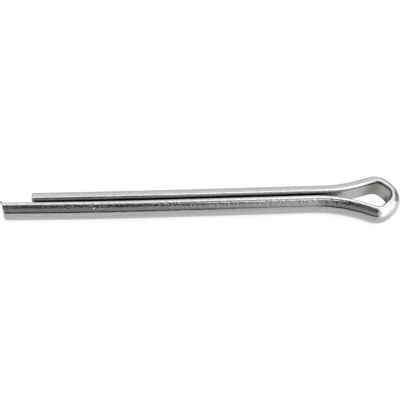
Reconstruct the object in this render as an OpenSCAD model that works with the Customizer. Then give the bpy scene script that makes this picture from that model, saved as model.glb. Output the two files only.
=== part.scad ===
// Split pin (cotter pin): one length of half-round steel wire, bent round into an
// eye, with its two flats facing each other along the legs. The pin lies on its side,
// so its loop is level and Z runs across the wire. X runs along the legs, with the
// eye at +X, and Y runs from the long leg (-Y) to the short leg (+Y). The origin is
// under the middle of the whole pin, on the surface that it lies on.

/* [Wire] */
// Diameter of the circle that both legs' round sides share
pin_d = 3.6; // [3:0.1:4.4]
// Gap between the flats of the two legs
leg_gap = 0.42; // [0.3:0.02:0.8]
// Radius of the wire's rounded corners, between its flat and its round side
corner_r = 0.32; // [0.2:0.02:0.5]

/* [Legs] */
// Length from the neck of the eye to the end of the short leg
leg_len = 40.6; // [32:0.2:63]
// Length by which the long leg passes the short one
long_extra = 3.85; // [1:0.05:6]
// Length of each leg's end that has sprung into a slight bow
bow_len = 21; // [8:1:24]
// Sideways rise of the long leg's end, toward the short leg
long_bow = 0.28; // [0.02:0.02:0.3]
// Sideways rise of the short leg's end, away from the long leg
short_bow = 0.1; // [0.02:0.02:0.6]

/* [Eye] */
// Length of the eye, from the neck to the outside of its nose
eye_len = 7.7; // [7.2:0.1:12]
// Width of the eye over its outside
eye_w = 6.6; // [6:0.1:8]
// Slope of the nose's two flanks, measured from straight across the pin
nose_deg = 44; // [35:1:55]
// Inner radius of the bend at the nose
nose_r = 1.25; // [0.6:0.05:1.4]
// Inner radius of the two bends where the eye is widest
side_r = 1.1; // [0.5:0.05:1.2]
// Radius of the two bends at the neck, on the flat of the wire, where there is room for it
neck_r = 19; // [8:0.5:24]
// Angle by which the eye leans toward the long leg
eye_lean = 4.3; // [0:0.1:6]

/* [Sheared ends] */
// Angle of the shear cut across the end of the long leg, which leaves its flat longest
long_shear = 8; // [1:1:20]
// Angle of the shear cut across the end of the short leg, which leaves its round side longest
short_shear = 3; // [1:1:20]
// Size of the edge that the shear rolled over, on each leg's round side
roll = 0.24; // [0.1:0.02:0.5]
// Length of the burr left on the long leg's flat side
burr_len = 0.14; // [0.1:0.02:0.5]
// Width of the burr where it leaves the leg
burr_w = 0.5; // [0.2:0.05:0.8]
// Thickness of the burr
burr_t = 0.14; // [0.08:0.02:0.3]

/* [Hidden] */
$fn = 96;

pin_r = pin_d / 2;
// thickness of the wire, from its flat to the crest of its round side
wire_t = (pin_d - leg_gap) / 2;
// centre of a rounded corner, measured across the wire from its middle
corner_z = sqrt(pow(pin_r - corner_r, 2) - pow(corner_r + leg_gap / 2, 2));
// half the width of the wire over its rounded corners, which is its height as it lies
half_w = corner_z + corner_r;

// Bends are a hair fatter than the straight runs, and each run enters the bends at its
// two ends by a short way, so that neighbours always overlap and fuse into one piece.
swell = 0.003;
entry = 0.03;

// Centres of the eye's bends on its own axis, with the neck at 0
nose_x = eye_len - wire_t - nose_r;
side_y = eye_w / 2 - wire_t - side_r;
side_x = nose_x + (nose_r - side_r - side_y * sin(nose_deg)) / cos(nose_deg);
flank_run = side_y / cos(nose_deg) - (nose_r - side_r) * tan(nose_deg);

// Each leg's side of the eye: 1 is the short leg's side and -1 is the long leg's.
// Bends are measured toward that side, so both sides of the pin are drawn alike.
function nose_at(side) = [nose_x * cos(eye_lean), -side * nose_x * sin(eye_lean)];
function side_at(side) = [
    side_x * cos(eye_lean) + side * side_y * sin(eye_lean),
    side_y * cos(eye_lean) - side * side_x * sin(eye_lean)
];
// way from the neck's corner, on the leg's flat, to the centre of the side bend
function reach(side) = side_at(side) - [0, leg_gap / 2];
// angle at which the wire leaves the neck
function flare(side) = atan2(reach(side).y, reach(side).x) + asin(side_r / norm(reach(side)));
// straight from the neck's corner to where the side bend starts
function tangent(side) = sqrt(pow(norm(reach(side)), 2) - pow(side_r, 2));
// least of it that stays straight beyond the neck's bend
least_run = 0.2;
function neck_bend(side) = min(neck_r, (tangent(side) - least_run) / tan(flare(side) / 2));
// what the neck's bend takes off the straight on each side of its corner
function neck_cut(side) = neck_bend(side) * tan(flare(side) / 2);
function flare_run(side) = tangent(side) - neck_cut(side);
// turn of the half of the nose bend on this side, and of the side bend after its flank
function nose_turn(side) = nose_deg - side * eye_lean;
function side_turn(side) = 90 - nose_turn(side) + flare(side);

// straight stretch at the very end of each leg
end_run = 1.2;
function bow_r(rise) = pow(bow_len, 2) / (2 * rise);
function bow_deg(rise) = (bow_len - end_run) / bow_r(rise) * 180 / PI;

// Section of the wire. Its flat is on x = 0, and its round side faces +X.
module wire_section(grow = 0) {
    r = corner_r + grow;
    slope = corner_z / (corner_r + leg_gap / 2);
    translate([-grow, -corner_z]) square([r, 2 * corner_z]);
    for (end = [-1, 1]) translate([corner_r, end * corner_z]) circle(r = r);
    intersection() {
        translate([-leg_gap / 2, 0]) circle(r = pin_r + grow);
        polygon([
            [0, slope * leg_gap / 2], [0, -slope * leg_gap / 2],
            [pin_d, -slope * (pin_d + leg_gap / 2)], [pin_d, slope * (pin_d + leg_gap / 2)]
        ]);
    }
}

// The modules below lay the wire toward +Y from the origin, with its flat on x = 0 and
// its round side toward +X, and their children go on from where they end.
module run(length) {
    translate([0, -entry, 0]) rotate([-90, 0, 0]) linear_extrude(length + 2 * entry) wire_section();
    translate([0, length, 0]) children();
}

module bend_to_flat(r, deg) {
    translate([-r, 0, 0]) {
        rotate_extrude(angle = deg) translate([r, 0]) wire_section(swell);
        rotate([0, 0, deg]) translate([r, 0, 0]) children();
    }
}

module bend_to_round(r, deg) {
    translate([r, 0, 0]) {
        rotate_extrude(angle = deg, start = 180 - deg) translate([r, 0]) rotate(180) wire_section(swell);
        rotate([0, 0, -deg]) translate([-r, 0, 0]) children();
    }
}

// Half of the eye and the leg's straight part, from the middle of the nose outward
module half_pin(side, straight) {
    bend_to_flat(nose_r, nose_turn(side))
        run(flank_run)
            bend_to_flat(side_r, side_turn(side))
                run(flare_run(side))
                    bend_to_round(neck_bend(side), flare(side))
                        run(straight - neck_cut(side))
                            children();
}

// The block that a shear cut takes off beyond [x, y], square to the wire at 0 degrees
module beyond(x, y, deg) {
    translate([x, y, -pin_d]) rotate([0, 0, deg]) translate([-pin_d, 0, 0]) cube([2 * pin_d, pin_d, 2 * pin_d]);
}

// The block that takes off the edge that the shear rolled over, where the cut meets the
// wire's crest at y
module rolled_edge(y) {
    beyond(wire_t, y - roll, -45);
}

// End of the long leg, with a burr on its flat side
module long_end() {
    difference() {
        run(end_run + roll);
        beyond(0, end_run, -long_shear);
        rolled_edge(end_run - wire_t * tan(long_shear));
    }
    translate([-burr_t / 2, end_run, half_w - burr_w]) rotate([0, 90, 0]) mirror([1, 0, 0])
        linear_extrude(burr_t) polygon([[0, -burr_t], [burr_w, -burr_t], [burr_w, burr_len]]);
}

// End of the short leg, cut clean
module short_end() {
    difference() {
        run(end_run + roll);
        beyond(wire_t, end_run, short_shear);
        rolled_edge(end_run);
    }
}

module split_pin() {
    // box that the pin fills
    x_max = nose_at(1).x + nose_r + wire_t;
    x_min = -leg_len - long_extra - burr_len;
    y_max = side_at(1).y + side_r + wire_t;
    y_min = -side_at(-1).y - side_r - wire_t;
    // middle of the nose's inner face, from which the two halves start
    start = nose_at(1) + [nose_r, 0];

    color("silver") translate([-(x_min + x_max) / 2, -(y_min + y_max) / 2, half_w]) {
        translate(start) half_pin(1, leg_len - bow_len)
            bend_to_round(bow_r(short_bow), bow_deg(short_bow)) short_end();
        translate(start) mirror([0, 1, 0]) half_pin(-1, leg_len + long_extra - bow_len)
            bend_to_flat(bow_r(long_bow), bow_deg(long_bow)) long_end();
    }
}

split_pin();
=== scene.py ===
"""Looks of a zinc-plated split pin: a finer mesh of the bent wire, its material, and the studio.

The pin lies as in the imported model. The pin's lengths are in millimetres until they are
multiplied by MM, and the studio's are in metres. A point of the wire is (along, out,
across): the way along the wire from the middle of the eye's nose, the way out from the
wire's flat to its round side, and the height across it. The short leg's half of the wire
runs to -along, the long leg's to +along. A side is 1 for the short leg's half and -1 for
the long leg's, as in the CAD source.
"""

import math
from types import SimpleNamespace

import bpy
import numpy as np
from mathutils import Matrix, Vector
from mathutils import noise as value_noise


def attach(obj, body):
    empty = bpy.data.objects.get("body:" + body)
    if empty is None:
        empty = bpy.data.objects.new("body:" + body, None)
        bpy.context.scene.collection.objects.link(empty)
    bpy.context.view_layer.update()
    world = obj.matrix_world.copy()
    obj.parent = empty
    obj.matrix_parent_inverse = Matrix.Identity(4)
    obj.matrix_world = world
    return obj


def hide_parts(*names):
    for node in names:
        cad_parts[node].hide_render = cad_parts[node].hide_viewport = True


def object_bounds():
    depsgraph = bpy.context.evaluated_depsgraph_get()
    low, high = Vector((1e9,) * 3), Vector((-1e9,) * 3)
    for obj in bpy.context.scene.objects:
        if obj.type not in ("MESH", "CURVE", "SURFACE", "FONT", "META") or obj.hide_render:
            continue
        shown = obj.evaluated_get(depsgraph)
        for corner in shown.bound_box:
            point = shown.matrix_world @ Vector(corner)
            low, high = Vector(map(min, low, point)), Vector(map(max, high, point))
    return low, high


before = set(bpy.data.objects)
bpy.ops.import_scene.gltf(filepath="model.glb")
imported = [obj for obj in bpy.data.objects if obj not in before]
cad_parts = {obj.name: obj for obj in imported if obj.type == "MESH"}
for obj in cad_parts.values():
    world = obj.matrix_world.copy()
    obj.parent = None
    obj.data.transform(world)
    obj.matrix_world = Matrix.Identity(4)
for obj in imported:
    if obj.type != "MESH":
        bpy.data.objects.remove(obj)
cad_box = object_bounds()
MM = 0.001

# The wire and its bends, as in the CAD source
PIN_D = 3.6
LEG_GAP = 0.42
CORNER_R = 0.32
LEG_LEN = 40.6
LONG_EXTRA = 3.85
BOW_LEN = 21.0
LONG_BOW = 0.28
SHORT_BOW = 0.1
EYE_LEN = 7.7
EYE_W = 6.6
NOSE_DEG = 44.0
NOSE_R = 1.25
SIDE_R = 1.1
NECK_R = 19.0
EYE_LEAN = 4.3
LONG_SHEAR = 8.0
SHORT_SHEAR = 3.0
ROLL = 0.24
BURR_LEN = 0.14
BURR_W = 0.5
BURR_T = 0.14
END_RUN = 1.2

PIN_R = PIN_D / 2
WIRE_T = (PIN_D - LEG_GAP) / 2
CORNER_Z = math.sqrt((PIN_R - CORNER_R) ** 2 - (CORNER_R + LEG_GAP / 2) ** 2)
HALF_W = CORNER_Z + CORNER_R

# Spacing of the mesh along the wire, points round its section, and the rings of a sheared
# face: how far each is inset from the face's edge, then the sizes of those inside them
STEP = 0.104
FLAT_POINTS = 26
CORNER_POINTS = 11
ROUND_POINTS = 42
FACE_INSETS = 0.012, 0.03, 0.06, 0.09, 0.115, 0.14, 0.17, 0.2, ROLL
FACE_SHARES = 0.8, 0.6, 0.4, 0.2
# Share of the CAD section's size, so that the visual mesh stays inside the CAD box
INSIDE = 0.9965

# Height of the wire's corners along its flat, in the eye and on the legs, and where it
# changes on the way along the wire; their depth is CORNER_R
CORNER_H = 0.42, 0.48
CORNER_CHANGE = 5.0, 9.0
# How rounded the upper and the lower corner are, in the eye and on the legs: 1 is an
# ellipse, and less is squarer
EYE_EDGES = 1.0, 0.55
LEG_EDGES = 0.65, 1.0
# Thinning of the bend at the nose, from its inner face: how much, where along the wire,
# over what reach, and the share that is left out toward the wire's underside
THIN = 0.24
THIN_AT = -0.5
THIN_SPAN = 1.0
THIN_LOW = 0.6
THIN_LOW_FROM = 0.2, 1.5

# Worn bevel round each leg's end: its length along the leg for each side, its depth, and
# where, on the way out from the flat, the rolled-over edge takes its place
BEVEL_LEN = {1: 0.36, -1: 0.13}
BEVEL_DEPTH = 0.13
BEVEL_TO_ROLL = {1: (1.15, 1.45), -1: (0.75, 1.1)}
# How much further the shear cut into the long leg, then how much more into its round
# side, and where that sets in on the way out
LONG_CUT = 0.08
ROUND_CUT = 0.1
ROUND_CUT_FROM = 0.8, 1.4
# Depth and grain of the unevenness of the sheared faces, and where its noise is taken
FACE_DEPTH = 0.02
FACE_GRAIN = np.array([2.0, 7.0, 1.0])
FACE_SEED = 17.3, 5.1, 11.7
# The burr as it is bent: off the flat, and upward; then the share of the CAD burr's length
# that it reaches, how softly it starts across the wire and fades from its middle out, and
# how far from the face's edge it starts
BURR_LEAN = 0.24
BURR_LIFT = 0.22
BURR_REACH = 0.96
BURR_START = -0.05, 0.12
BURR_FADE = 0.3, 0.06
BURR_INSET = 0.1


# ---------------------------------------------------------------- path of the wire
def sind(a):
    return math.sin(math.radians(a))


def cosd(a):
    return math.cos(math.radians(a))


def tand(a):
    return math.tan(math.radians(a))


def ease(value, low, high):
    """Smooth step from 0 at low to 1 at high."""
    t = min(max((value - low) / (high - low), 0), 1)
    return t * t * (3 - 2 * t)


# Centres of the eye's bends on its own axis, with the neck at 0
nose_x = EYE_LEN - WIRE_T - NOSE_R
side_y = EYE_W / 2 - WIRE_T - SIDE_R
side_x = nose_x + (NOSE_R - SIDE_R - side_y * sind(NOSE_DEG)) / cosd(NOSE_DEG)
flank_run = side_y / cosd(NOSE_DEG) - (NOSE_R - SIDE_R) * tand(NOSE_DEG)


def nose_at(side):
    return Vector((nose_x * cosd(EYE_LEAN), -side * nose_x * sind(EYE_LEAN)))


def side_at(side):
    lean_cos, lean_sin = cosd(EYE_LEAN), side * sind(EYE_LEAN)
    return Vector((side_x * lean_cos + side_y * lean_sin, side_y * lean_cos - side_x * lean_sin))


def half_path(side):
    """Stations of one half of the wire from the nose to the start of its end: rows of
    (way, x, y, out_x, out_y), with the way from the nose's middle positive on both sides,
    the neck at x = 0 and y toward this half's own side."""
    reach = side_at(side) - Vector((0, LEG_GAP / 2))
    flare = math.degrees(math.atan2(reach.y, reach.x) + math.asin(SIDE_R / reach.length))
    neck_cut = NECK_R * tand(flare / 2)
    flare_run = math.sqrt(reach.length_squared - SIDE_R**2) - neck_cut
    nose_turn = NOSE_DEG - side * EYE_LEAN
    length = LEG_LEN if side > 0 else LEG_LEN + LONG_EXTRA
    rise = SHORT_BOW if side > 0 else -LONG_BOW
    bow_r = BOW_LEN**2 / (2 * rise)
    bow_deg = math.degrees((BOW_LEN - END_RUN) / bow_r)
    # (radius on the flat, turn toward the flat) of each bend, or a straight's length
    moves = [
        (NOSE_R, nose_turn),
        flank_run,
        (SIDE_R, 90 - nose_turn + flare),
        flare_run,
        (NECK_R, -flare),
        length - BOW_LEN - neck_cut,
        (abs(bow_r), -bow_deg),
    ]
    start = nose_at(side) + Vector((NOSE_R, 0))
    x, y, turn, way = start.x, start.y, 0.0, 0.0
    rows = [(way, x, y, 1.0, 0.0)]
    for move in moves:
        if isinstance(move, tuple):
            radius, deg = move
            sign = math.copysign(1, deg)
            outer = radius + (WIRE_T if deg > 0 else 0)
            n = max(2, math.ceil(abs(math.radians(deg)) * outer / STEP))
            centre_x = x - sign * radius * cosd(turn)
            centre_y = y - sign * radius * sind(turn)
            for i in range(1, n + 1):
                a = turn + deg * i / n
                way += abs(math.radians(deg)) * radius / n
                x = centre_x + sign * radius * cosd(a)
                y = centre_y + sign * radius * sind(a)
                rows.append((way, x, y, cosd(a), sind(a)))
            turn += deg
        else:
            n = max(1, math.ceil(move / STEP))
            for _ in range(n):
                way += move / n
                x -= sind(turn) * move / n
                y += cosd(turn) * move / n
                rows.append((way, x, y, cosd(turn), sind(turn)))
    return np.array(rows)


# ---------------------------------------------------------------- section of the wire
def section(corner_h, high_edge, low_edge):
    """Points (out, across) round the wire, anticlockwise from the middle of the flat, inside
    the CAD section's box. Its corners reach further along the flat than the CAD's."""
    slope = math.atan2(CORNER_Z, CORNER_R + LEG_GAP / 2)
    flat_z = HALF_W - corner_h

    def corner(a, edge):
        """Point of the upper corner: an ellipse, or squarer, toward the flat, and a circle
        beyond."""
        out, across = math.cos(a), math.sin(a)
        if out < 0:
            return CORNER_R * (1 - (-out) ** edge), flat_z + corner_h * across**edge
        return CORNER_R * (1 + out), CORNER_Z + CORNER_R * across

    points = [(0, -z) for z in np.linspace(0, flat_z, FLAT_POINTS // 2, endpoint=False)]
    for a in np.linspace(math.pi, slope, CORNER_POINTS, endpoint=False):
        out, across = corner(a, low_edge)
        points.append((out, -across))
    for a in np.linspace(-slope, slope, ROUND_POINTS, endpoint=False):
        points.append((-LEG_GAP / 2 + PIN_R * math.cos(a), PIN_R * math.sin(a)))
    for a in np.linspace(slope, math.pi, CORNER_POINTS, endpoint=False):
        points.append(corner(a, high_edge))
    points += [(0, z) for z in np.linspace(flat_z, 0, FLAT_POINTS // 2, endpoint=False)]
    middle = np.array([WIRE_T / 2, 0])
    return middle + (np.array(points) - middle) * INSIDE


eye_section = section(CORNER_H[0], *EYE_EDGES)
leg_section = section(CORNER_H[1], *LEG_EDGES)


def section_at(side, way):
    """The section so far along a half of the wire, thinner where the nose's bend drew it."""
    points = eye_section + (leg_section - eye_section) * ease(way, *CORNER_CHANGE)
    near = math.exp(-(((side * way + THIN_AT) / THIN_SPAN) ** 2))
    kept = np.array([1 - THIN_LOW * ease(-across, *THIN_LOW_FROM) for across in points[:, 1]])
    points[:, 0] += THIN * near * kept * (1 - points[:, 0] / WIRE_T)
    return points


# ---------------------------------------------------------------- ends of the legs
def burr(side, out, across):
    """Weight of the burr, a small tongue at the long leg's upper corner."""
    if side > 0:
        return 0.0
    start = HALF_W - BURR_W
    high = ease(across, start + BURR_START[0], start + BURR_START[1])
    return high * ease(abs(out - BURR_T), *BURR_FADE)


def end_reach(side, out, across, inset):
    """How far the wire goes on past the start of its end, at a point of its section that is
    inset from the section's outline by so much."""
    if side > 0:
        reach = END_RUN - (WIRE_T - out) * tand(SHORT_SHEAR)
    else:
        reach = END_RUN - LONG_CUT - out * tand(LONG_SHEAR)
        reach -= ROUND_CUT * ease(out, *ROUND_CUT_FROM)
    # the worn bevel near the flat, and the edge that the shear rolled over beyond it
    worn = 1 - ease(out, *BEVEL_TO_ROLL[side])
    reach -= worn * BEVEL_LEN[side] * (1 - ease(inset, -BEVEL_DEPTH, BEVEL_DEPTH)) * 2
    edge = ROLL - min(inset, ROLL)
    reach -= (1 - worn) * (ROLL - math.sqrt(ROLL**2 - edge**2))
    if inset > BURR_INSET:
        tip = END_RUN + BURR_REACH * BURR_LEN
        reach += max(tip - reach, 0) * burr(side, out, across)
    return reach


def face_reach(side, points, inset):
    """The reach of each point of a ring of the sheared face, with the face's unevenness."""
    move = Vector([(3 + side) * seed for seed in FACE_SEED])
    reach = np.array([end_reach(side, out, across, inset) for out, across in points])
    rough = np.array(
        [
            value_noise.noise(Vector(np.array([out, across, 0.0]) * FACE_GRAIN) + move)
            for out, across in points
        ]
    )
    return reach - FACE_DEPTH * min(inset / ROLL, 1) * (1 + rough)


# ---------------------------------------------------------------- mesh of the wire
def ring_at(side, station, points, reach=0.0, bent=0.0):
    """A ring of section points (out, across), each at its own reach past the station: their
    wire coordinates, their places in the CAD source's frame, and their share in the burr.
    bent is how far the burr is bent over, from 0 to 1."""
    way, x, y, out_x, out_y = station
    tongue = bent * np.array([burr(side, out, across) for out, across in points])
    reach = np.zeros(len(points)) + reach
    out = points[:, 0] - BURR_LEAN * tongue
    across = np.minimum(points[:, 1] + BURR_LIFT * tongue, leg_section[:, 1].max())
    wire = np.column_stack([-side * (way + reach), points])
    place = np.column_stack(
        [x + out_x * out - out_y * reach, (y + out_y * out + out_x * reach) * side, across]
    )
    return wire, place, tongue


def half_rings(side):
    """Rings of one half of the wire, from the nose outward: along its path, along its
    straight end, where they turn gradually into the sheared face, and then over that face
    from its edge to its middle. The face's rings come as a list of their own."""
    path = half_path(side)
    last = path[-1]
    rings = [ring_at(side, station, section_at(side, station[0])) for station in path]
    reach = np.array([end_reach(side, out, across, 0) for out, across in leg_section])
    steps = math.ceil(END_RUN / STEP) + 3
    rings += [ring_at(side, last, leg_section, i / steps * reach) for i in range(1, steps + 1)]

    face = []
    middle = leg_section.mean(0)
    inward = middle - leg_section
    depth = np.linalg.norm(inward, axis=1)[:, None]
    for inset, share in [(i, 1) for i in FACE_INSETS] + [(ROLL, s) for s in FACE_SHARES]:
        edge = leg_section + inward * inset / depth
        points = middle + (edge - middle) * share
        reach = face_reach(side, points, inset)
        face.append(ring_at(side, last, points, reach, min(inset / BURR_T, 1)))
    return rings, face


def wire_mesh():
    """The whole wire as one closed mesh. Its "wire" attribute holds the wire coordinates,
    and its "cut" attribute is 0 on the wire, 1 on its sheared faces and 2 on the burr."""
    (short, short_face), (long, long_face) = half_rings(1), half_rings(-1)
    # rings in one row, from the short leg's face over the nose to the long leg's face
    rings = short_face[::-1] + short[::-1] + long[1:] + long_face
    wire, place, tongue = (np.array(part) for part in zip(*rings))
    cut = tongue.copy()
    cut[: len(short_face)] += 1
    cut[-len(long_face) :] += 1

    centre = (cad_box[0] + cad_box[1]) / 2 / MM
    x_max = nose_at(1).x + NOSE_R + WIRE_T
    x_min = -LEG_LEN - LONG_EXTRA - BURR_LEN
    y_max = side_at(1).y + SIDE_R + WIRE_T
    y_min = -side_at(-1).y - SIDE_R - WIRE_T
    shift = np.array([centre.x - (x_min + x_max) / 2, centre.y - (y_min + y_max) / 2, HALF_W])
    place += shift

    # the rings' points, then the middle of each face
    rows, n = tongue.shape
    verts = np.vstack([place.reshape(-1, 3), place[0].mean(0), place[-1].mean(0)])
    wire = np.vstack([wire.reshape(-1, 3), wire[0].mean(0), wire[-1].mean(0)])
    cut = np.append(cut.ravel(), [1, 1])
    j = np.arange(n)
    k = (j + 1) % n
    row = np.arange(rows - 1)[:, None] * n
    quads = np.stack([row + j, row + k, row + n + k, row + n + j], axis=-1).reshape(-1, 4)
    first = np.column_stack([np.full(n, rows * n), k, j])
    final_row = (rows - 1) * n
    final = np.column_stack([np.full(n, rows * n + 1), final_row + j, final_row + k])

    mesh = bpy.data.meshes.new("pin_wire")
    mesh.from_pydata((verts * MM).tolist(), [], quads.tolist() + first.tolist() + final.tolist())
    attribute = mesh.attributes.new("wire", "FLOAT_VECTOR", "POINT")
    attribute.data.foreach_set("vector", wire.astype(np.float32).ravel())
    attribute = mesh.attributes.new("cut", "FLOAT", "POINT")
    attribute.data.foreach_set("value", cut.astype(np.float32))
    mesh.polygons.foreach_set("use_smooth", [True] * len(mesh.polygons))
    mesh.update()
    return mesh


# ---------------------------------------------------------------- shader helpers
class Graph:
    """Adds nodes to a node tree in one line each."""

    def __init__(self, tree):
        self.tree = tree
        tree.nodes.clear()

    def add(self, kind, inputs=None, **props):
        node = self.tree.nodes.new(kind)
        for name, value in props.items():
            setattr(node, name, value)
        for name, value in (inputs or {}).items():
            if isinstance(value, bpy.types.NodeSocket):
                self.tree.links.new(value, node.inputs[name])
            else:
                node.inputs[name].default_value = value
        return node

    def math(self, operation, a, b=0.0, c=0.0, clamp=False):
        node = self.add(
            "ShaderNodeMath", {0: a, 1: b, 2: c}, operation=operation, use_clamp=clamp
        )
        return node.outputs[0]

    def product(self, value, *factors):
        for factor in factors:
            value = self.math("MULTIPLY", value, factor)
        return value

    def layered(self, value, layers):
        """The value plus each of the (layer, weight) pairs."""
        for layer, weight in layers:
            value = self.math("MULTIPLY_ADD", layer, weight, value)
        return value

    def away(self, value, centre):
        """How far the value is from a centre, either way."""
        return self.math("ABSOLUTE", self.math("SUBTRACT", value, centre))

    def noise(self, vector, scale, detail=3.0, roughness=0.55):
        """Noise from 0 to 1 on a vector in millimetres, with a scale for each axis."""
        stretched = self.add(
            "ShaderNodeVectorMath", {0: vector, 1: scale}, operation="MULTIPLY"
        )
        node = self.add(
            "ShaderNodeTexNoise",
            {
                "Vector": stretched.outputs[0],
                "Scale": 1.0,
                "Detail": detail,
                "Roughness": roughness,
            },
        )
        return node.outputs[0]

    def smooth(self, value, low, high, to_low=0.0, to_high=1.0):
        """Smooth step from to_low, where the value is at low, to to_high."""
        node = self.add(
            "ShaderNodeMapRange",
            {0: value, 1: low, 2: high, 3: to_low, 4: to_high},
            interpolation_type="SMOOTHSTEP",
        )
        return node.outputs[0]

    def mix(self, factor, a, b):
        node = self.add("ShaderNodeMix", {0: factor, 6: a, 7: b}, data_type="RGBA")
        return node.outputs[2]

    def mix_value(self, factor, a, b):
        node = self.add("ShaderNodeMix", {0: factor, 2: a, 3: b}, data_type="FLOAT")
        return node.outputs[0]


def material(name):
    made = bpy.data.materials.new(name)
    made.use_nodes = True
    return made, Graph(made.node_tree)


# ---------------------------------------------------------------- zinc plate
# Colours of the bright plate and of what has marked it, and of the painted shade and painted dark
# reflection laid on it
PLATE_LIGHT = 0.56, 0.558, 0.555, 1
PLATE_DARK = 0.485, 0.483, 0.48, 1
STAINED = 0.36, 0.36, 0.356, 1
SMUDGED = 0.36, 0.355, 0.35, 1
PITTED = 0.3, 0.3, 0.295, 1
DULLED = 0.195, 0.197, 0.178, 1
# painted shade on the eye's inner face, high on the bend and down the nose
PAINTED_EYE_SHADE = 0.07, 0.07, 0.062, 1
# painted shade on the legs' flats just past the neck
NECK_SHADE = 0.33, 0.33, 0.32, 1
# painted dark reflection along the short leg's upper corner
PAINTED_CORNER_REFLECTION = 0.08, 0.08, 0.08, 1
# painted shade on the flats in the gap between the legs
GAP_SHADE = 0.24, 0.24, 0.24, 1
SHEARED = 0.5, 0.49, 0.48, 1
BURR_DARK = 0.12, 0.12, 0.12, 1
# Roughness of the bright plate before its marks, and of the sheared faces
PLATE_ROUGH = 0.05
SHEARED_ROUGH = 0.3
# Depth of a bump of height 1
BUMP_DEPTH = 0.009

# Places of the marks: the height across the wire of the band of painted dark reflection, and
# where along the short leg it sets in; the groove's way out, and where along the long leg it
# starts and fades; the nick, and how it fades with the distance from there; where the short
# leg ends beside the long one, which bounds the painted shade between the legs; where the
# inner face's dullness sets in and ends on either side of the nose
BAND_ACROSS = 1.63
BAND_ALONG = -27.0, -36.0
GROOVE_OUT = 0.6
GROOVE_FROM = 5.5, 8.5
GROOVE_TO = 34.0, 20.0
NICK = 39.66, 0.98, 1.34
NICK_FADE = 0.2, 0.02
SHORT_END = 48.0, 46.5
DULL_FROM = 1.2, 2.7
DULL_TO = 5.0, 3.0


def plate_texture(g, wire, out, across):
    """Noise of the plating over the whole wire."""
    # grain and pits come in patches, mostly on the shoulders of the round side
    shoulder = g.smooth(g.math("ABSOLUTE", across), 1.0, 1.35, 0.22, 1.0)
    patch = g.smooth(g.noise(wire, (0.22, 0.5, 0.5), detail=1.0), 0.35, 0.65, 0.6, 1.0)
    patch = g.product(shoulder, g.smooth(out, 0.0, 0.12, 0.2, 1.0), patch)
    grain = g.math("SUBTRACT", g.noise(wire, (2.9, 4.8, 4.8), detail=0.5), 0.5)
    pits = g.smooth(g.noise(wire, (4.2, 5.0, 5.0), detail=1.0), 0.52, 0.62)
    return SimpleNamespace(
        # lengthwise lines of the drawing die
        fine=g.noise(wire, (0.25, 11.0, 11.0), detail=2.0),
        coarse=g.noise(wire, (0.06, 3.2, 3.2), detail=2.0),
        grain=g.product(grain, patch),
        pits=g.product(pits, patch),
        frost=g.noise(wire, (5.0, 9.0, 9.0), detail=3.0, roughness=0.6),
        stain=g.noise(wire, (1.3, 7.0, 7.0), detail=3.0, roughness=0.6),
        smudge=g.smooth(g.noise(wire, (1.1, 2.6, 2.6), detail=2.0), 0.42, 0.68),
        # grain of the sheared faces
        torn=g.noise(wire, (6.0, 2.2, 9.0), detail=4.0, roughness=0.65),
    )


def plate_marks(g, wire, stain):
    """Masks from 0 to 1 of the marks, the painted shade and the painted dark reflection that have
    their place on the wire.
    """
    along, out, across = g.add("ShaderNodeSeparateXYZ", {0: wire}).outputs
    way = g.math("ABSOLUTE", along)
    # along the legs the flat's upper edge is dull, and the rest of it carries painted shade as
    # far as the legs lie side by side, in the gap between them
    flat = g.product(g.smooth(out, 0.14, 0.02), g.smooth(way, 5.0, 8.0))
    between = g.product(
        g.smooth(across, 1.38, 1.15), g.smooth(way, 7.5, 12.0), g.smooth(along, *SHORT_END)
    )
    # a painted dark reflection: a band along the short leg's upper corner, toward its end,
    # mottled by the stain noise
    band = g.product(
        g.smooth(g.away(across, BAND_ACROSS), 0.12, 0.04),
        g.smooth(out, 0.25, 0.15),
        g.smooth(along, *BAND_ALONG),
        g.smooth(stain, 0.35, 0.55, 0.45, 0.9),
    )
    # a shallow line rolled into the long leg, beside its upper corner
    groove = g.product(
        g.smooth(along, *GROOVE_FROM),
        g.smooth(along, *GROOVE_TO),
        g.smooth(across, 0.4, 0.8),
        g.smooth(g.away(out, GROOVE_OUT), 0.1, 0.0),
    )
    nick = g.add("ShaderNodeVectorMath", {0: wire, 1: NICK}, operation="DISTANCE")
    # duller plating on the inner face of the eye's bends, at a depth below the thinned face
    depth = g.math("SUBTRACT", out, g.smooth(g.away(along, THIN_AT), 1.8, 0.0, 0.0, THIN))
    dull = g.product(
        g.smooth(way, *DULL_FROM, 0.5, 1.0), g.smooth(way, *DULL_TO), g.smooth(depth, 0.28, 0.12)
    )
    # painted shade on the inner face there, high on the bend, and down the long leg's half of the
    # nose
    high = g.product(
        g.smooth(way, 2.9, 1.4),
        g.smooth(across, 0.85, 1.45),
        g.smooth(depth, 0.13, -0.05, 0.0, 0.7),
    )
    nose = g.product(
        g.smooth(g.math("MULTIPLY_ADD", across, -0.35, along), -0.8, -0.1),
        g.smooth(along, 2.0, 1.0),
        g.smooth(depth, 0.1, 0.03),
    )
    # painted shade on the legs' flats just past the neck, where they part
    neck = g.product(
        g.smooth(way, 6.3, 7.8),
        g.smooth(way, 16.0, 12.0),
        g.smooth(out, 0.3, 0.1),
        g.smooth(across, 1.55, 1.0, 0.3, 1.0),
    )
    return SimpleNamespace(
        edge=g.product(flat, g.smooth(across, 1.15, 1.4)),
        deep=g.product(flat, between),
        band=band,
        groove=groove,
        nick=g.smooth(nick.outputs["Value"], *NICK_FADE),
        dull=dull,
        eye_shade=g.math("MAXIMUM", high, nose),
        neck=neck,
    )


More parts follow.
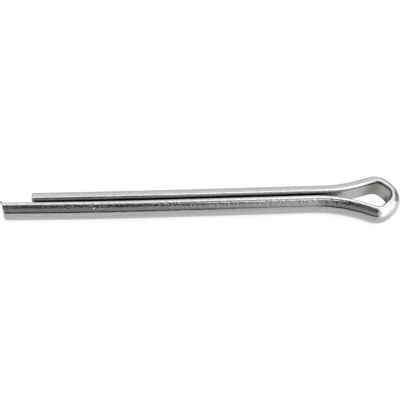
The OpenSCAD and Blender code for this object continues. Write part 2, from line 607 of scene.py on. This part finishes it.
def zinc_plate():
    made, g = material("zinc_plate")
    wire = g.add("ShaderNodeAttribute", attribute_name="wire").outputs["Vector"]
    cut = g.add("ShaderNodeAttribute", attribute_name="cut").outputs["Fac"]
    _, out, across = g.add("ShaderNodeSeparateXYZ", {0: wire}).outputs
    noise = plate_texture(g, wire, out, across)
    marks = plate_marks(g, wire, noise.stain)

    height = g.layered(
        0.0,
        [
            (noise.fine, 0.3),
            (noise.coarse, 0.6),
            (noise.grain, 2.3),
            (noise.frost, 0.15),
            (noise.pits, -0.6),
            (marks.groove, -1.6),
            (marks.nick, -4.0),
        ],
    )
    height = g.mix_value(cut, height, g.product(noise.torn, 3.0))
    bump = g.add(
        "ShaderNodeBump", {"Height": height, "Strength": 1.0, "Distance": BUMP_DEPTH * MM}
    )

    colour = g.mix(g.smooth(noise.coarse, 0.35, 0.65), PLATE_LIGHT, PLATE_DARK)
    for share, tone in [
        (g.smooth(noise.stain, 0.3, 0.7, 0.0, 0.3), STAINED),
        (g.product(noise.smudge, 0.22), SMUDGED),
        (g.product(noise.pits, 0.25), PITTED),
        (marks.dull, DULLED),
        # painted shade in the eye's bend
        (g.product(marks.eye_shade, 0.95), PAINTED_EYE_SHADE),
        # painted shade by the neck
        (g.product(marks.neck, 0.8), NECK_SHADE),
        # painted dark reflection along the short leg's corner
        (marks.band, PAINTED_CORNER_REFLECTION),
        # painted shade between the legs
        (g.product(marks.deep, 0.85), GAP_SHADE),
        (g.math("MULTIPLY", cut, 0.8, clamp=True), SHEARED),
        (g.smooth(cut, 1.2, 1.7), BURR_DARK),
    ]:
        colour = g.mix(share, colour, tone)

    rough = g.layered(
        PLATE_ROUGH,
        [(noise.frost, 0.06), (noise.pits, 0.14), (marks.dull, 0.12), (marks.edge, 0.75)],
    )
    shader = g.add(
        "ShaderNodeBsdfPrincipled",
        {
            "Base Color": colour,
            "Metallic": 1.0,
            "Roughness": g.mix_value(cut, rough, SHEARED_ROUGH),
            "Normal": bump.outputs[0],
        },
    )
    g.add("ShaderNodeOutputMaterial", {"Surface": shader.outputs[0]})
    return made


# ---------------------------------------------------------------- the pin
pin = bpy.data.objects.new("pin_wire", wire_mesh())
bpy.context.scene.collection.objects.link(pin)
pin.data.materials.append(zinc_plate())
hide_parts("split_pin")
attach(pin, "root")


# ---------------------------------------------------------------- studio, in metres
WHITE = 1, 1, 1, 1
BLACK = 0, 0, 0, 1

FLOOR_RADIUS = 0.07
FLOOR_SIDES = 64
FLOOR_DROP = 0.01 * MM  # below the pin
FLOOR_COLOUR = 0.8, 0.8, 0.8, 1
# What the camera sees of the floor: its own light, and the little it adds from the studio
FLOOR_GLOW = 0.9
FLOOR_TONE = 0.14, 0.14, 0.14, 1
# What the metal mirrors of it, with painted light: its glow on the left and, brighter, on the
# right, where the panel is, and the x at which it changes; and the painted shade of the part
# beyond the eye, with the x and y where it starts
MIRRORED_GLOW = 0.86, 1.35
MIRRORED_X = 0.022, 0.034
BEYOND_GLOW = 0.5
BEYOND_X = 0.026, 0.031
BEYOND_Y = -0.001, 0.002
# How near the pin the floor darkens, and the openness at which it is fully light, as the
# camera sees it and as the metal does
SEEN_SHADE = 0.8 * MM, 0.36
MIRRORED_SHADE = 1.6 * MM, 0.48
SHADE_BLACK = 0.08


def floor_material():
    """White where the camera or the metal sees it in full light, darker close to the pin."""
    made, g = material("studio_floor")
    path = g.add("ShaderNodeLightPath")
    glossy_ray = path.outputs["Is Glossy Ray"]
    seen = g.math("MAXIMUM", path.outputs["Is Camera Ray"], glossy_ray)
    seen = g.math("MAXIMUM", seen, path.outputs["Is Transmission Ray"])
    place = g.add("ShaderNodeNewGeometry").outputs["Position"]
    x, y, _ = g.add("ShaderNodeSeparateXYZ", {0: place}).outputs
    beyond = g.product(g.smooth(x, *BEYOND_X), g.smooth(y, *BEYOND_Y))
    mirrored = g.mix_value(beyond, g.smooth(x, *MIRRORED_X, *MIRRORED_GLOW), BEYOND_GLOW)

    def openness(distance, light):
        """0 where the pin is close above the floor, and 1 away from it."""
        shade = g.add("ShaderNodeAmbientOcclusion", {"Distance": distance}, samples=8)
        return g.smooth(shade.outputs["AO"], SHADE_BLACK, light)

    seen_glow = g.product(openness(*SEEN_SHADE), FLOOR_GLOW)
    mirrored = g.product(mirrored, openness(*MIRRORED_SHADE))
    glow = g.mix_value(glossy_ray, seen_glow, mirrored)
    plain = g.add("ShaderNodeBsdfDiffuse", {"Color": FLOOR_COLOUR})
    pale = g.add("ShaderNodeBsdfDiffuse", {"Color": g.mix(glossy_ray, FLOOR_TONE, BLACK)})
    shine = g.add("ShaderNodeEmission", {"Color": WHITE, "Strength": glow})
    white = g.add("ShaderNodeAddShader", {0: pale.outputs[0], 1: shine.outputs[0]})
    both = g.add("ShaderNodeMixShader", {0: seen, 1: plain.outputs[0], 2: white.outputs[0]})
    g.add("ShaderNodeOutputMaterial", {"Surface": both.outputs[0]})
    return made


def add_floor():
    mesh = bpy.data.meshes.new("floor")
    rim = [
        (FLOOR_RADIUS * math.cos(a), FLOOR_RADIUS * math.sin(a), 0)
        for a in np.linspace(0, 2 * math.pi, FLOOR_SIDES, endpoint=False)
    ]
    mesh.from_pydata(rim, [], [list(range(FLOOR_SIDES))])
    made = bpy.data.objects.new("floor", mesh)
    made.location.z = cad_box[0].z - FLOOR_DROP
    made.data.materials.append(floor_material())
    bpy.context.scene.collection.objects.link(made)
    return made


floor = add_floor()

# Brightness of the tent around the pin, from its left to its right, at its left-hand end
# and at the end beyond the nose; of the soft panel; and of what lies below the floor's edge
TENT = 1.18, 1.4
TENT_LEFT = 0.85
TENT_NOSE = 0.2
PANEL = 2.15
BELOW = 0.8
# The card, the grey below it and the dark line at the floor's edge, each in front of the
# legs and at the left-hand end
CARD, CARD_LEFT = 0.03, 1.1
GREY, GREY_LEFT = 0.39, 0.7
EDGE, EDGE_LEFT = 0.07, 0.12
# How much lighter the card is toward the left, and the tent on the right, apart from its
# lowest part behind the pin
CARD_LIFT = 0.14
TENT_LIFT = 0.45
TENT_LIFT_PHI = -74, -44
# Angles phi at which the card, the grey, the floor's edge and what is below it take over
CARD_PHI = 7, 20
GREY_PHI = 47, 53
EDGE_PHI = 71, 84
BELOW_PHI = 92, 95
# The card's upper edge slants down toward the right: from which x, how steeply in degrees
# for each 1 of x, and by how much at most
SLANT_FROM = 0.08
SLANT = 55.0
SLANT_MOST = 20.0


def studio_world():
    """A white tent with a black card over the legs in front, toward -Y, grey below it and
    a dark line at the floor's edge; its right-hand side is a large soft panel. phi is the
    angle from the zenith toward -Y, in degrees; x, y and z are those of the direction."""
    world = bpy.data.worlds.new("studio")
    world.use_nodes = True
    g = Graph(world.node_tree)
    direction = g.add("ShaderNodeTexCoord").outputs["Generated"]
    x, y, z = g.add("ShaderNodeSeparateXYZ", {0: direction}).outputs
    phi = g.math("ARCTAN2", g.product(y, -1.0), z)
    phi = g.product(phi, 180 / math.pi)
    left = g.smooth(x, -0.5, -0.75)

    tent = g.smooth(x, 0.1, 0.4, *TENT)
    lift = g.product(g.smooth(phi, *TENT_LIFT_PHI, 0.0, TENT_LIFT), g.smooth(x, 0.1, 0.22))
    tent = g.mix_value(g.smooth(x, -0.7, -0.9), g.math("ADD", tent, lift), TENT_LEFT)
    nose_end = g.product(g.smooth(x, 0.7, 0.88), g.smooth(y, -0.1, 0.12), g.smooth(z, 0.55, 0.18))
    tent = g.mix_value(nose_end, tent, TENT_NOSE)

    card = g.math(
        "ADD", g.smooth(x, 0.0, 0.52, CARD, PANEL), g.smooth(x, -0.04, -0.2, 0.0, CARD_LIFT)
    )
    card = g.mix_value(left, card, CARD_LEFT)
    grey = g.mix_value(left, g.smooth(x, 0.0, 0.6, GREY, PANEL), GREY_LEFT)
    edge = g.mix_value(left, g.smooth(x, 0.0, 0.6, EDGE, PANEL), EDGE_LEFT)

    slant = g.product(g.math("MAXIMUM", g.math("ADD", x, SLANT_FROM), 0.0), SLANT)
    top = g.math("SUBTRACT", phi, g.math("MINIMUM", slant, SLANT_MOST))
    value = g.mix_value(g.smooth(top, *CARD_PHI), tent, card)
    for change, shade in [(GREY_PHI, grey), (EDGE_PHI, edge), (BELOW_PHI, BELOW)]:
        value = g.mix_value(g.smooth(phi, *change), value, shade)
    # the camera itself sees plain white
    camera_ray = g.add("ShaderNodeLightPath").outputs["Is Camera Ray"]
    value = g.mix_value(camera_ray, value, 1.0)
    back = g.add("ShaderNodeBackground", {"Color": WHITE, "Strength": value})
    g.add("ShaderNodeOutputWorld", {"Surface": back.outputs[0]})
    return world


bpy.context.scene.world = studio_world()


def placed(place, x_axis, y_axis, z_axis):
    """World matrix of an object at a place, with its axes along the given directions."""
    axes = Matrix((x_axis, y_axis, z_axis)).transposed().to_4x4()
    return Matrix.Translation(place) @ axes


# A soft box that shines at the pin, its length along X; a radiance of 1 shows as white
LAMP_WAY = 0.1, 0.14, 1.0
LAMP_DISTANCE = 0.6
LAMP_LENGTH = 0.5
LAMP_WIDTH = 0.3
LAMP_RADIANCE = 1.0

lamp_data = bpy.data.lights.new("overhead_softbox", "AREA")
lamp_data.shape = "RECTANGLE"
lamp_data.size, lamp_data.size_y = LAMP_LENGTH, LAMP_WIDTH
lamp_data.energy = LAMP_RADIANCE * math.pi * LAMP_LENGTH * LAMP_WIDTH
lamp = bpy.data.objects.new("overhead_softbox", lamp_data)
lamp_way = Vector(LAMP_WAY).normalized()
lamp_along = Vector((0, 1, 0)).cross(lamp_way).normalized()
lamp.matrix_world = placed(
    lamp_way * LAMP_DISTANCE, lamp_along, lamp_way.cross(lamp_along), lamp_way
)
bpy.context.scene.collection.objects.link(lamp)

# ---------------------------------------------------------------- camera
VIEW_TILT = 27.85  # from straight down, toward the long leg
VIEW_TURN = 4.46
VIEW_ROLL = 1.64
VIEW_DISTANCE = 158.29 * MM
VIEW_LENS = 108.0
VIEW_CLIP = 0.005, 10
AIM = -0.233 * MM, 1.423 * MM  # to the right and up in the picture, from the origin

look = Vector(
    (
        sind(VIEW_TURN),
        cosd(VIEW_TURN) * sind(VIEW_TILT),
        -cosd(VIEW_TURN) * cosd(VIEW_TILT),
    )
)
level_right = Vector(
    (
        cosd(VIEW_TURN),
        -sind(VIEW_TURN) * sind(VIEW_TILT),
        sind(VIEW_TURN) * cosd(VIEW_TILT),
    )
)
level_up = Vector((0, cosd(VIEW_TILT), sind(VIEW_TILT)))
right = cosd(VIEW_ROLL) * level_right - sind(VIEW_ROLL) * level_up
up = sind(VIEW_ROLL) * level_right + cosd(VIEW_ROLL) * level_up
camera_data = bpy.data.cameras.new("camera")
camera_data.lens = VIEW_LENS
camera_data.clip_start, camera_data.clip_end = VIEW_CLIP
camera = bpy.data.objects.new("camera", camera_data)
aim = right * AIM[0] + up * AIM[1]
camera.matrix_world = placed(aim - look * VIEW_DISTANCE, right, up, -look)
bpy.context.scene.collection.objects.link(camera)
bpy.context.scene.camera = camera
bpy.context.scene.view_settings.view_transform = "Standard"

# ---------------------------------------------------------------- scene update
bpy.context.view_layer.update()
